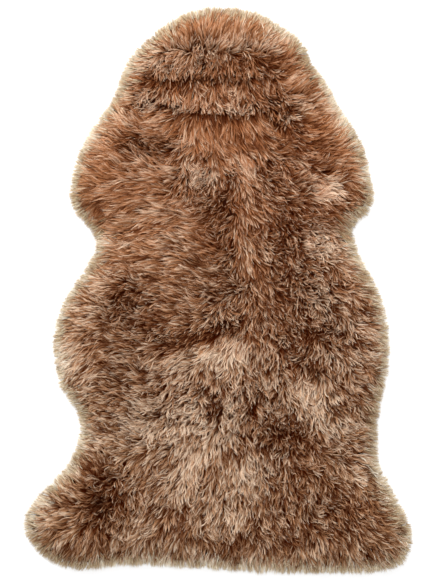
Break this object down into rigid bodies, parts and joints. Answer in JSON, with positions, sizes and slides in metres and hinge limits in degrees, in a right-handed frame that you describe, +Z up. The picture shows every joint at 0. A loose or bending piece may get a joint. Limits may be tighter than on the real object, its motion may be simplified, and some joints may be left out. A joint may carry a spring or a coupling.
{
  "type": "sheepskin rug",
  "caption": "Brown long-wool sheepskin rug in the natural outline of the hide, lying flat with its wool up and a soft fringe of wool locks round its rim.",
  "frame": {"origin": "on the floor under the middle of the rug's box", "axes": "+Y to the neck end, +Z up out of the wool, +X to the right of someone at the tail end who looks to the neck"},
  "size_m": [0.6618, 0.9534, 0.0559],
  "materials": {
    "wool": "matte, long combed wool",
    "hide": "matte suede, the tanned flesh side"
  },
  "bodies": {
    "root": {"pelt": "wool"}
  },
  "joints": []
}
